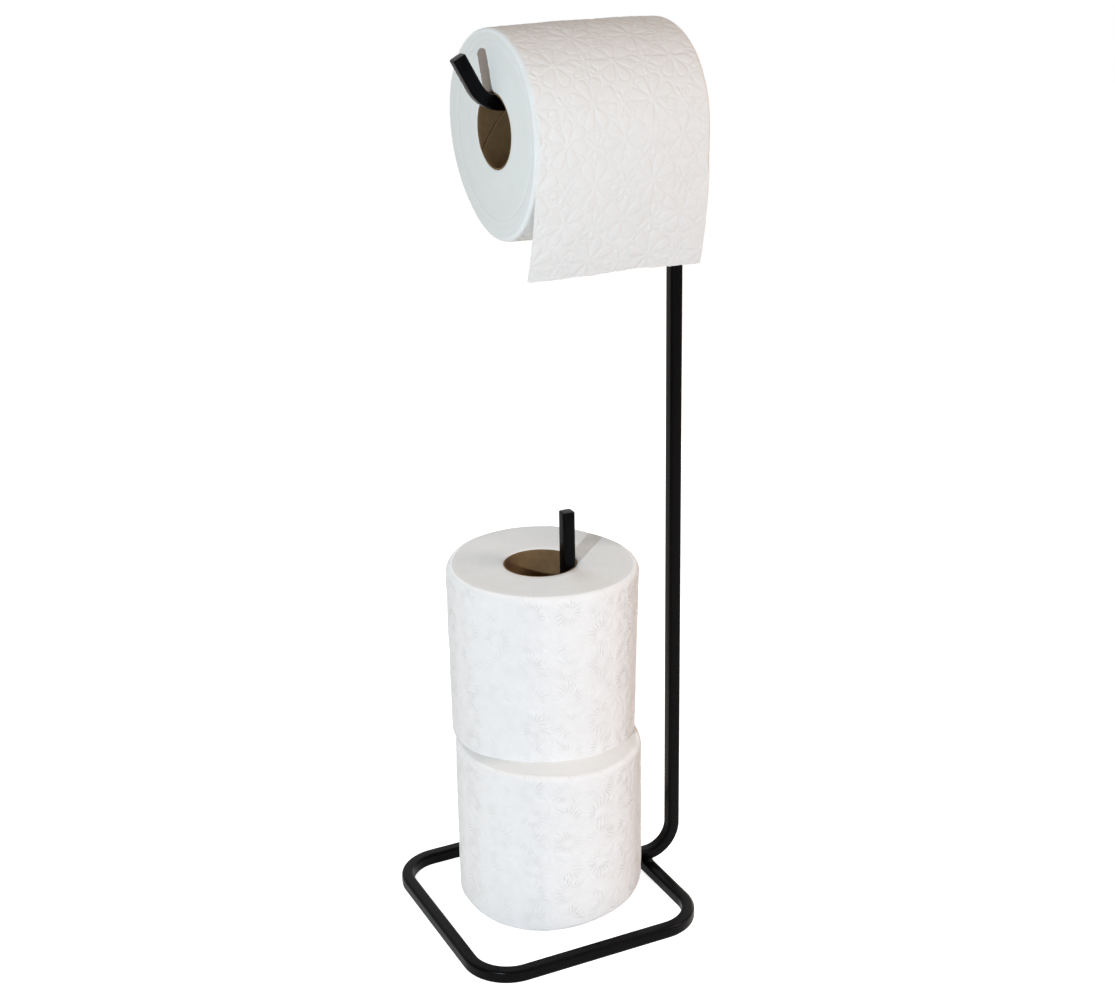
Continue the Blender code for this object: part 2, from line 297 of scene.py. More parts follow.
def boardSurface(add, look):
    # Spiral-wound grey-brown core board: recycled fibres, dull and mottled
    here = add("TexCoord").outputs["Object"]
    fibres = add("TexNoise", {"Scale": 1 / look["fibreSize"], "Detail": 4.0, "Roughness": 0.65},
                 {"Vector": here})
    mottle = add("TexNoise", {"Scale": 1 / look["mottleSize"], "Detail": 5.0}, {"Vector": here})
    half = add("Math", {"operation": "MULTIPLY", 1: 0.5}, {0: mottle})
    both = add("Math", {"operation": "MULTIPLY_ADD", 1: 0.5}, {0: fibres, 2: half})
    tint = add("Mix", {"data_type": "RGBA", 6: toLinear(look["dark"]), 7: toLinear(look["light"])}, {0: both})
    bump = add("Bump", {"Distance": look["fibreDepth"]}, {"Height": both})
    return add("BsdfPrincipled", {"Roughness": 0.9, "Specular IOR Level": 0.2},
               {"Base Color": tint.outputs[2], "Normal": bump})


blackPowderCoat = makeFinish("blackPowderCoatedSteel", coatSurface, powderCoat)
cardboardCore = makeFinish("spiralWoundCoreBoard", boardSurface, cardboard)
embossedTissue = makeFinish("embossedTissuePaper", tissueSurface, tissue)
# the spare rolls' paper has been handled more: it is fluffier, its veins stand out more with deeper bumps and
# a stronger painted highlight, and its pressed lines get less painted shade
handledLook = dict(tissue, fluff=0.5, veinDepth=0.3 * mm, veinShade=0.045, lineShade=0.012)
handledTissue = makeFinish("handledTissuePaper", tissueSurface, handledLook)
sawnPaper = makeFinish("sawnRollEnd", cutSurface, cutPaper)
print("finishes made")


# Steel bars

bars = {
    "side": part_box("base_ring")[1].z,
    "cornerRadius": 1.6 * mm,
    "cornerSteps": 8,
    "crown": 0.05 * mm,      # how much lower a face is at its edges than in its middle
    "supportShare": 0.86,    # share of a face's flat between its two inner support lines
    "endRound": 0.55 * mm,
    "endRoundSteps": 4,
    "straightStep": 9 * mm,
    "bendStep": math.radians(3),
    "ringCornerRadius": 27.8 * mm,
    "footBendRadius": 18 * mm,
    "armBendRadius": 18 * mm,
    "tipBendRadius": 17 * mm,
    "tipAngle": math.radians(61),
    "tipStraight": 17.8 * mm,
    "tipBendInside": 4.6 * mm,  # the tip's bend starts this far inside the roll
    "footAxisHeight": 11.7 * mm,
    "armHeight": 475.95 * mm,
}


def barOutline():
    # The rounded square: quarter circles at the corners and crowned faces, whose height falls with the square
    # of the distance from the face's middle. Counter-clockwise, as (across, up)
    half, radius = bars["side"] / 2, bars["cornerRadius"]
    flat = half - radius
    faceShares = np.array([-bars["supportShare"], 0, bars["supportShare"]])
    swing = np.linspace(0, math.pi / 2, bars["cornerSteps"] + 1)
    side = []
    for cosine, sine in ((1, 0), (0, 1), (-1, 0), (0, -1)):   # quarter turns
        face = np.stack([half - bars["crown"] * faceShares ** 2, flat * faceShares], -1)
        start = flat - bars["crown"]
        corner = np.stack([start + radius * np.cos(swing), start + radius * np.sin(swing)], -1)
        side.append(np.concatenate([face, corner]) @ np.array([[cosine, sine], [-sine, cosine]]))
    return np.concatenate(side)


def bentLine(start, heading, legs):
    # Straight legs (length, 0) and bends (length, turn) in one plane. Along a bend the heading turns evenly,
    # so its points are the heading's integral: length / turn * (sin, -cos). Returns points and headings
    places, headings = [np.array([start])], [np.array([heading])]
    for length, turn in legs:
        steps = max(1, math.ceil(abs(turn) / bars["bendStep"] if turn else length / bars["straightStep"]))
        share = np.arange(1, steps + 1)[:, None] / steps
        now = heading + turn * share
        if turn:
            way = np.concatenate([np.sin(now) - math.sin(heading), math.cos(heading) - np.cos(now)], 1)
            way = length / turn * way
        else:
            way = length * share * np.array([[math.cos(heading), math.sin(heading)]])
        places.append(places[-1][-1] + way)
        headings.append(now[:, 0])
        heading += turn
    return np.concatenate(places), np.concatenate(headings)


def carryOutline(outline, places, headings, toWorld, closed):
    # The outline stands square to the heading at every place: across is the heading turned a quarter, up the
    # plane's normal. Open bars get flat ends with rounded rims: rings that draw in by 1 - cos and out by sin
    insets, overshoots = np.zeros(len(places)), np.zeros(len(places))
    if not closed:
        swing = np.linspace(0, math.pi / 2, bars["endRoundSteps"] + 1)[::-1]
        endInset = np.concatenate([[bars["side"] / 2], bars["endRound"] * (1 - np.cos(swing))])
        endOvershoot = np.concatenate([[0], bars["endRound"] * (1 - np.sin(swing))])
        count = len(endInset)
        places, headings = (np.concatenate([np.repeat(line[:1], count, 0), line[1:-1],
                                            np.repeat(line[-1:], count, 0)]) for line in (places, headings))
        inner = len(places) - 2 * count
        insets = np.concatenate([endInset, np.zeros(inner), endInset[::-1]])
        overshoots = np.concatenate([endOvershoot, np.zeros(inner), -endOvershoot[::-1]])
    forward = np.stack([np.cos(headings), np.sin(headings)], -1)
    across = np.stack([-np.sin(headings), np.cos(headings)], -1)
    scale = 1 - insets / (bars["side"] / 2)
    centre = places + forward * overshoots[:, None]
    flat = centre[:, None, :] + across[:, None, :] * (outline[None, :, :1] * scale[:, None, None])
    up = np.broadcast_to(outline[None, :, 1] * scale[:, None], flat.shape[:2])
    return toWorld(flat[..., 0], flat[..., 1], up)


def addBars():
    outline, side, quarter = barOutline(), bars["side"], math.pi / 2
    low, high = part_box("base_ring")
    radius = bars["ringCornerRadius"] - side / 2
    ringLegs = [(high.x - low.x - side - 2 * radius, 0), (radius * quarter, quarter)] * 4
    places, headings = bentLine((low.x + side / 2 + radius, low.y + side / 2), 0.0, ringLegs)
    points = carryOutline(outline, places[:-1], headings[:-1],
                          lambda a, b, up: np.stack([a, b, side / 2 + up], -1), True)
    ring = makePiece("baseRing", points, gridFaces(*points.shape[:2], True, True), [blackPowderCoat])
    place(ring, "holder", "black_powder_coat", "base_ring")

    footRadius, armRadius, tipRadius = (bars[bend + "BendRadius"] for bend in ("foot", "arm", "tip"))
    footEnd, footZ, armZ = frameFootEnd(), bars["footAxisHeight"], bars["armHeight"]
    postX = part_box("main_bar")[1].x - side / 2
    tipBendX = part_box("hung_winding")[0].x + bars["tipBendInside"]
    barLegs = [
        (postX - footRadius - footEnd, 0),
        (footRadius * quarter, quarter),
        (armZ - footZ - footRadius - armRadius, 0),
        (armRadius * quarter, quarter),
        (postX - armRadius - tipBendX, 0),
        (tipRadius * bars["tipAngle"], -bars["tipAngle"]),
        (bars["tipStraight"], 0),
    ]
    low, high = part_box("spindle")
    middle = (low + high) / 2
    for name, node, start, heading, legs in (
            ("footPostArm", "main_bar", (footEnd, footZ), 0.0, barLegs),
            ("sparePeg", "spindle", (middle.x, low.z), quarter, [(high.z - low.z, 0)])):
        points = carryOutline(outline, *bentLine(start, heading, legs),
                              lambda a, b, up: np.stack([a, -up, b], -1), False)
        bar = makePiece(name, points, gridFaces(*points.shape[:2], False, True), [blackPowderCoat])
        closePoles(bar)
        place(bar, "holder", "black_powder_coat", node)


def frameFootEnd():
    # The foot's hidden end: the bar's lowest X among its points near the floor
    mesh = nodes["main_bar"].data
    points = np.empty(len(mesh.vertices) * 3, np.float32)
    mesh.vertices.foreach_get("co", points)
    points = points.reshape(-1, 3)
    return float(points[points[:, 2] < 2 * bars["footAxisHeight"], 0].min())


addBars()
print("bars made")

# Paper

emboss = {
    "tileAcross": 33.2 * mm,   # three tiles across a sheet
    "tileAlong": 41.0 * mm,
    "lineWidth": 0.45 * mm,    # distance from a pressed line's middle to where it has faded to 0.6
    "lineDepth": 0.24 * mm,
    "swell": 0.10 * mm,        # how far the paper puffs up between the lines
    "rootFade": 1.2 * mm,      # a leaf's line comes up over this distance from its foot
    "leastSlope": 0.2 * mm,    # keeps the distance to a leaf's outline finite at its tip
    "warp": 0.5 * mm,          # how far the web was stretched aside
    "warpLength": 45 * mm,
    "unevenShare": 0.3,        # how much weaker the press is in places
    "unevenLength": 30 * mm,
    # Open blossoms and leaf sprigs: place as shares of the tile (across, along), count of leaves, their
    # length and width, how far out they start, the first one's angle and the angle they are spread over
    "motifs": [
        (0.00, 0.00, 8, 12.6 * mm, 6.4 * mm, 1.2 * mm, 0.30, fullTurn),
        (0.50, 0.46, 7, 11.4 * mm, 6.6 * mm, 1.0 * mm, 1.15, fullTurn),
        (0.50, 0.03, 3, 8.2 * mm, 3.6 * mm, 0.4 * mm, 0.85, 2.1),
        (0.52, 0.03, 3, 6.6 * mm, 3.2 * mm, 0.4 * mm, 4.20, 2.2),
        (0.01, 0.52, 3, 8.0 * mm, 3.6 * mm, 0.4 * mm, 2.55, 2.3),
        (0.98, 0.52, 3, 7.0 * mm, 3.2 * mm, 0.4 * mm, 5.70, 2.1),
    ],
}


def softNoise(seed, size, points):
    # A smooth random field between about -1 and 1: the sum of plane waves, each about size long, of random
    # direction and phase
    draw = np.random.default_rng(seed)
    waves = draw.normal(size=(10, points.shape[-1]))
    waves *= fullTurn / size / np.linalg.norm(waves, axis=1, keepdims=True) * draw.uniform(0.6, 1.5, (10, 1))
    return sum(np.sin(points @ wave + draw.uniform(0, fullTurn)) for wave in waves) / 4


def smoothStep(values):
    # 0 below 0, 1 above 1, and 3 t^2 - 2 t^3 between
    t = np.clip(values, 0, 1)
    return t * t * (3 - 2 * t)


def leafRelief(x, y, length, width):
    # A leaf from the origin along +x, with a narrow foot and a round tip. Its half width squared is
    # (width / 2)^2 * 1.92 * t^1.6 * (1 - t^6), with t = x / length. With F = y^2 less that, the distance
    # to its outline is |F| over the length of F's gradient. Returns the pressed line and the puffed inside
    t = np.clip(x / length, 0, 1.4)
    peak = 1.92 * (width / 2) ** 2
    foot, tip = t ** 0.6, t ** 6
    half = peak * foot * t * (1 - tip)
    slope = peak * foot * (1.6 - 7.6 * tip) / length
    level = y * y - half
    distance = np.abs(level) / np.sqrt(slope ** 2 + 4 * y * y + emboss["leastSlope"] ** 2)
    line = np.exp(-0.5 * (distance / emboss["lineWidth"]) ** 2) * smoothStep(x / emboss["rootFade"])
    return line, smoothStep(-level / peak * 1.5)


def embossHeight(along, across, press):
    # The pattern's height at each place on the paper, repeated tile by tile, and how much it is pressed there
    line, swell = np.zeros_like(along), np.zeros_like(along)
    tileAcross, tileAlong = emboss["tileAcross"], emboss["tileAlong"]
    for shareAcross, shareAlong, count, length, width, start, first, spread in emboss["motifs"]:
        x = (across - (shareAcross - 0.5) * tileAcross) % tileAcross - tileAcross / 2
        y = (along - (shareAlong - 0.5) * tileAlong) % tileAlong - tileAlong / 2
        for angle in first + spread * np.arange(count) / (count if spread == fullTurn else count - 1):
            forward = x * math.cos(angle) + y * math.sin(angle)
            aside = y * math.cos(angle) - x * math.sin(angle)
            leafLine, leafSwell = leafRelief(forward - start, aside, length, width)
            np.maximum(line, leafLine, out=line)
            np.maximum(swell, leafSwell, out=swell)
    return press * (emboss["swell"] * swell - emboss["lineDepth"] * line), press * line


def pressedPaper(seed, along, across, points):
    # The relief with the web's stretch and the press's uneven weight, both slow random fields
    shifted = [line + emboss["warp"] * softNoise(seed + k, emboss["warpLength"], points)
               for k, line in enumerate((along, across))]
    weight = 1 - emboss["unevenShare"] * (0.5 + 0.5 * softNoise(seed + 2, emboss["unevenLength"], points))
    return embossHeight(*shifted, np.clip(weight, 0.3, 1))


def rimCurve(angles, heights):
    # A smooth closed curve through heights at equal angles. Each stretch is a cubic whose end slopes are half
    # the difference of the heights on either side
    heights = np.array(heights)
    place = angles / fullTurn % 1 * len(heights)
    i = np.floor(place).astype(int)
    t = place - i
    a, b, c, d = (heights[(i + k) % len(heights)] for k in (-1, 0, 1, 2))
    return b + t / 2 * (c - a + t * (2 * a - 5 * b + 4 * c - d + t * (3 * (b - c) + d - a)))


def woundPaper(name, look, outline, bore, toWorld, seed):
    # A closed ring of wound paper. Its cut section is carried round: along the bore, out over one cut end,
    # round the edge, along the outside and back over the other end. At share 0 a point is on the bore, at
    # share 1 on the outline, less an inset. outline and bore give radii at an angle, toWorld places the ring
    (first, last), width, chamfer = look["edgeRounds"], look["width"], look["boreChamfer"]
    swing = np.linspace(0, math.pi / 2, look["edgeSteps"] + 1)
    rise = np.linspace(0, 1, look["faceSteps"] + 1)
    away, inward = 1 - np.cos(swing), 1 - np.sin(swing)
    side = np.linspace(first, width - last, look["sideSteps"] + 1)[1:-1]
    wall = np.linspace(width - chamfer, chamfer, look["boreSteps"] + 1)
    onBore, endCount = np.zeros(len(wall)), len(rise) - 1
    share = np.concatenate([onBore, rise[:-1], np.ones(2 * len(away) + len(side)), rise[-2::-1]])
    inset = np.concatenate([onBore, np.full(endCount, first), first * inward, np.zeros(len(side)),
                            last * inward[::-1], np.full(endCount, last)])
    depth = np.concatenate([wall, np.zeros(endCount), first * away, side, width - last * away[::-1],
                            np.full(endCount, width)])
    lift = np.where((share == 0) & ((depth == 0) | (depth == width)), chamfer, 0)
    isEnd = (share < 1) | (depth == 0) | (depth == width)

    rows = look["turnSteps"]
    turnShare = np.linspace(0, 1 - look["tailGap"] / (fullTurn * look["meanRadius"]), rows)
    angle = look["tailAngle"] + fullTurn * turnShare
    along = fullTurn * look["meanRadius"] * turnShare
    angles, depths = np.broadcast_arrays(angle[:, None], depth[None, :])
    shares = np.broadcast_to(share, angles.shape)
    alongs = np.broadcast_to(along[:, None], angles.shape)
    outside = outline(angles, depths)
    radius = bore(angles) * (1 - shares) + (outside - inset) * shares + lift
    around = np.stack([radius * np.cos(angles), radius * np.sin(angles), depths], -1)
    onSide = shares * smoothStep(np.minimum(depths / first, (width - depths) / last) - look["edgeBare"])
    pressed = np.zeros_like(radius)
    if look["relief"]:
        height, pressed = pressedPaper(seed, alongs, depths, around)
        radius, pressed = radius + onSide * height * look["relief"], onSide * pressed
        radius = radius + shares * look["slack"] * softNoise(seed + 5, look["slackLength"], around)
    outward = np.where(depths < width / 2, -1, 1)
    facing = shares * (1 - shares) * 4 * look["faceWave"] * softNoise(seed + 6, look["faceLength"], around)
    deep = depths + outward * facing * isEnd
    for end, heights in enumerate(look["rims"]):
        near = np.abs(1 - end - depths / width) ** look["rimPower"]
        deep = deep + near * shares ** 2 * rimCurve(angles, heights) * mm
    points = toWorld(radius * np.cos(angles), radius * np.sin(angles), deep)
    paper = np.stack([alongs, depths, radius], -1)
    faces = gridFaces(rows, len(share), True, True)[:, ::-1]
    finishOf = np.tile((isEnd & np.roll(isEnd, -1)).astype(int), rows)
    return makePiece(name, points, faces, [look["tissue"], sawnPaper], 50, paper, pressed, finishOf)


def rollCore(name, look, inside, toWorld):
    # A spiral-wound tube: inner wall, cut end, outer wall, cut end. Its rows run along the seam's helix and
    # lie closest together at the seam, where the inner wall sinks as a Gaussian of the distance to it
    width, wall, rim = look["width"] - 2 * look["recess"], look["wall"], look["rimRound"]
    inner = np.linspace(rim, width - rim, look["wallSteps"])
    depth = np.concatenate([[0, rim / 3], inner, [width - rim / 3, width], [width, width - rim, rim, 0]])
    thickness = np.concatenate([[rim, rim / 3], np.zeros(look["wallSteps"]), [rim / 3, rim],
                                [wall - rim, wall, wall, wall - rim]])
    twist = fullTurn / look["seamPitch"]
    spread = np.linspace(-1, 1, look["turnSteps"], endpoint=False)
    crowding = look["seamCrowding"]
    fromSeam = math.pi * ((1 - crowding) * spread + crowding * spread ** 3)
    angles = fromSeam[:, None] - look["seamStart"] + depth * twist
    apart = fromSeam * look["insideRadius"] / math.hypot(1, look["insideRadius"] * twist)
    groove = look["seamDepth"] * np.exp(-(apart / look["seamWidth"]) ** 2)
    radius = inside(angles) + thickness + groove[:, None] * (thickness == 0)
    points = toWorld(radius * np.cos(angles), radius * np.sin(angles), depth + look["recess"] + 0 * angles)
    return makePiece(name, points, gridFaces(len(spread), len(depth), True, True), [cardboardCore], 50)


rolls = {
    "width": 99.6 * mm,
    "sheetThickness": 0.3 * mm,
    "coreWall": 0.9 * mm,
    "coreClearance": 0.06 * mm,
    "tailLift": 0.35 * mm,     # how far the loose tail's edge stands up, and over which share of the turn
    "tailShare": 0.025,
}

rollLook = {
    "width": rolls["width"],
    "turnSteps": 548,
    "sideSteps": 136,
    "edgeSteps": 5,
    "faceSteps": 9,
    "boreSteps": 4,
    "edgeRounds": (1.9 * mm, 1.9 * mm),
    "boreChamfer": 0.4 * mm,
    "tailGap": 0.12 * mm,
    "faceWave": 0.16 * mm,
    "faceLength": 17 * mm,
    "slack": 0.14 * mm,
    "slackLength": 26 * mm,
    "edgeBare": 0.3,       # share of an edge's rounding that has no relief
    "relief": 0.95,
    "tissue": handledTissue,
    "rims": ([0], [0]),    # mm that the two rims are pushed along the axis, at equal angles
    "rimPower": 2.5,       # how fast that falls off with the distance from the rim
}

coreLook = {
    "width": rolls["width"],
    "wall": rolls["coreWall"],
    "recess": 0.2 * mm,
    "rimRound": 0.15 * mm,
    "wallSteps": 60,
    "turnSteps": 240,
    "seamPitch": 98 * mm,
    "seamDepth": 0.5 * mm,
    "seamWidth": 0.26 * mm,
    "seamStart": 1.2,
    "seamCrowding": 0.88,    # how closely the rows crowd at the seam, from 0 to 1
}


spareRolls = {
    "lower": {
        # how far the outside is off the core's middle, right and back, and how much wider it is than its
        # mean size, each at the foot and the top
        "shift": ((-0.5 * mm, -0.3 * mm), (0.25 * mm, 0.15 * mm)),
        "swell": (0.3 * mm, 0.2 * mm),
        "oval": 0.35 * mm,
        "ovalAngle": 1.9,
        "tailAngle": math.radians(95),
        "settle": 0.25 * mm,   # it rests on what is below it, closer than the solids do
        "width": rolls["width"],
        "coreShift": 0.0,
        "edgeRounds": (1.9 * mm, 3.0 * mm),
        # mm that the outer turns have slid up at the foot and the top, every 30 degrees from the right
        "rims": ([1.8, 0.3, 0.0, 0.0, -1.0, -3.3, -1.9, -4.2, -3.8, -0.9, 1.3, 4.2],
                 [-4.8, -4.2, -4.0, -4.0, -4.0, -4.1, -4.0, -4.0, -3.8, -5.2, -5.2, -6.4]),
        "seed": 31,
    },
    "upper": {
        "shift": ((-1.5 * mm, -0.4 * mm), (0.75 * mm, 0.2 * mm)),
        "swell": (-0.9 * mm, 0.7 * mm),
        "oval": 0.3 * mm,
        "ovalAngle": 0.6,
        "tailAngle": math.radians(60),
        "settle": 0.5 * mm,
        "width": 98.5 * mm,
        "coreShift": -1.7 * mm,
        "edgeRounds": (1.3 * mm, 3.6 * mm),
        "rims": ([-3.3, -3.7, -4.0, -4.0, -4.0, -4.1, -4.1, -4.0, -3.6, -4.9, -4.3, -5.2],
                 [-0.8, -0.1, 2.0, 2.4, 2.2, 0.7, 0.7, 0.5, 0.3, -0.1, -0.9, -1.6]),
        "seed": 47,
    },
}


def addSpareRoll(which, shape):
    # The roll's outside and its hole have middles of their own, so the core's shift is taken off the outline
    low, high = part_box(which + "_spare_core")
    middle = (low + high) / 2
    coreRadius = (high.x - low.x) / 2
    windingLow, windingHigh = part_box(which + "_spare_winding")
    meanRadius = (windingHigh.y - windingLow.y) / 2
    floor = windingLow.z - shape["settle"]

    def outline(angles, depths):
        # A slightly oval circle that grows and shifts from foot to top, with the loose tail a layer out
        up = depths / shape["width"]
        right, back = (between(ends, up) for ends in shape["shift"])
        right = right - shape["coreShift"]
        lap = (angles - shape["tailAngle"]) / fullTurn
        lifted = smoothStep((lap - 1 + rolls["tailShare"]) / rolls["tailShare"])
        tail = rolls["sheetThickness"] * (lap - 1) + rolls["tailLift"] * lifted
        return (meanRadius + between(shape["swell"], up) + right * np.cos(angles) + back * np.sin(angles)
                + shape["oval"] * np.cos(2 * (angles - shape["ovalAngle"])) + tail)

    def toWorld(x, y, up):
        return np.stack([middle.x + shape["coreShift"] + x, middle.y + y, floor + up], -1)

    look = dict(rollLook, meanRadius=meanRadius, tailAngle=shape["tailAngle"], edgeRounds=shape["edgeRounds"],
                rims=shape["rims"], width=shape["width"])
    winding = woundPaper(which + "SpareRoll", look, outline,
                         lambda angles: coreRadius + rolls["coreClearance"], toWorld, shape["seed"])
    body = which + "_spare_roll"
    place(winding, body, "tissue_paper", which + "_spare_winding")
    inside = coreRadius - rolls["coreWall"]
    core = rollCore(which + "SpareCore", dict(coreLook, insideRadius=inside, width=shape["width"]),
                    lambda angles: inside, toWorld)
    place(core, body, "core_cardboard", which + "_spare_core")


for spareName, spareShape in spareRolls.items():
    addSpareRoll(spareName, spareShape)
print("spare rolls made")


hungRoll = {
    # The soft roll's outline about its axis, as a Fourier series of the angle from the back upwards: the
    # first pair sinks and shifts it, the second makes it oval and the third egg-shaped
    "meanRadius": 55.0 * mm,
    "cosTerms": (3.3 * mm, 0.5 * mm, 1.0 * mm),
    "sinTerms": (-2.0 * mm, 0.9 * mm, 0.85 * mm),
    "belly": 0.8 * mm,          # how much fuller it is halfway along than at its ends
    "taper": 0.9 * mm,          # how much fuller its right end is than its left one
    "edgeRound": 2.1 * mm,
    "seamRadius": 46.0 * mm,    # the paper inside this turns with the core
    "seamGap": 0.01 * mm,
    "coreAcross": 20.6 * mm,    # the core's inner half sizes: the roll's weight has pressed it oval
    "coreUp": 18.93 * mm,
    "perforationAngle": math.radians(135),
    "underSheet": 0.42 * mm,    # how much lower the paper under the last sheet lies
    "edgeShare": 0.6,           # and how much less so at the roll's two edges
    "coverAngle": math.radians(46),
    "coverFade": math.radians(16),
    "seamStart": 0.64,          # turns the core's seam to where it shows in the hole
    "seed": 11,                 # of the pressed pattern, which the last sheet shares
}

lastSheet = {
    "flatLength": 116 * mm,
    "flatWidth": rolls["width"],
    # at its left and right edge: where it leaves the roll, and its curl below, curl * drop^2, per metre
    "leaveHeights": (459.0 * mm, 454.0 * mm),
    "curls": (2.9, 2.4),
    "tearHeight": 389.6 * mm,
    "tearRises": (0.3, -0.1, 0.3, 0.3, 1.0, 1.5, 0.7, 0.4, 0.1),   # mm, at equal steps across
    "tearUneven": 0.12 * mm,
    "tearLength": 12 * mm,   # the unevenness's length along the torn edge
    "tuftPitch": 5.2 * mm,   # the perforation's ties leave tufts
    "tuftLength": 0.2 * mm,
    "tuftPower": 6,          # how narrow a tuft is
    "tuftReach": 30,         # and how close to the edge it begins
    "ripple": 0.35 * mm,
    "rippleLength": 55 * mm,
    "seed": 5,
    "relief": 1.2,
    "rollRows": 92,
    "freeRows": 136,
    "columns": 196,
    "edgeThickness": 0.12 * mm,
    "edgeOpens": 20 * mm,    # over this drop the edges' rounding opens out flat
    "topGap": math.radians(0.12),
    "slopeStep": 0.01,       # angle over which the outline's slope is taken, in radians
    "leastBend": 1e-4,       # keeps the edges' rounding finite where they are flat
}

turnAxis = next(joint["pos_m"] for joint in frame["joints"] if joint["name"] == "hung_roll_turn")


def hungOutline(angles, depths):
    # The Fourier series, fuller halfway along by a parabola and towards the right end in proportion
    u = depths / rolls["width"]
    radius = hungRoll["meanRadius"] + hungRoll["belly"] * (1 - (2 * u - 1) ** 2)
    radius = radius + hungRoll["taper"] * (u - 0.5)
    for k, (cosTerm, sinTerm) in enumerate(zip(hungRoll["cosTerms"], hungRoll["sinTerms"]), 1):
        radius = radius + cosTerm * np.cos(k * angles) + sinTerm * np.sin(k * angles)
    return radius


def hungPlace(x, y, along):
    # The roll lies on its side: its own x points back, its y up, and its width runs along the arm
    return np.stack([turnAxis[0] - rolls["width"] / 2 + along, turnAxis[1] + x, turnAxis[2] + y], -1)


def oval(angles, across, up):
    # The radius of an ellipse at an angle
    return across * up / np.hypot(up * np.cos(angles), across * np.sin(angles))


def addHungRoll():
    look = dict(rollLook, meanRadius=hungRoll["meanRadius"], tailAngle=hungRoll["perforationAngle"],
                edgeRounds=(hungRoll["edgeRound"],) * 2, edgeSteps=7, sideSteps=132, faceSteps=7,
                boreChamfer=hungRoll["seamGap"], relief=lastSheet["relief"], tissue=embossedTissue)

    def outline(angles, depths):
        # Past the perforation the paper lies one layer lower, as far as the last sheet covers it
        past = angles - hungRoll["perforationAngle"]
        covered = 1 - smoothStep((past - hungRoll["coverAngle"]) / hungRoll["coverFade"])
        fromMiddle = np.abs(depths - rolls["width"] / 2)
        atEdge = smoothStep((fromMiddle - rolls["width"] / 2) / hungRoll["edgeRound"] + 1)
        lower = hungRoll["underSheet"] * (1 - hungRoll["edgeShare"] * atEdge)
        return hungOutline(angles, depths) - lower * covered

    turns = woundPaper("hungOuterTurns", look, outline, lambda angles: hungRoll["seamRadius"], hungPlace,
                       hungRoll["seed"])
    place(turns, "hung_sheet", "tissue_paper", "hanging_sheet")

    flat = dict(rollLook, meanRadius=hungRoll["seamRadius"], tailAngle=0.0, edgeRounds=(0.02 * mm,) * 2,
                edgeSteps=1, sideSteps=6, faceSteps=16, relief=0.0, boreChamfer=0.3 * mm)
    inside = (hungRoll["coreAcross"], hungRoll["coreUp"])
    bore = [size + rolls["coreWall"] + rolls["coreClearance"] for size in inside]
    inSeam = hungRoll["seamRadius"] - hungRoll["seamGap"]
    winding = woundPaper("hungWinding", flat, lambda angles, depths: inSeam,
                         lambda angles: oval(angles, *bore), hungPlace, hungRoll["seed"] + 1)
    place(winding, "hung_roll", "tissue_paper", "hung_winding")
    core = rollCore("hungCore", dict(coreLook, insideRadius=sum(inside) / 2, seamStart=hungRoll["seamStart"]),
                    lambda angles: oval(angles, *inside), hungPlace)
    place(core, "hung_roll", "core_cardboard", "hung_core")
    return turns


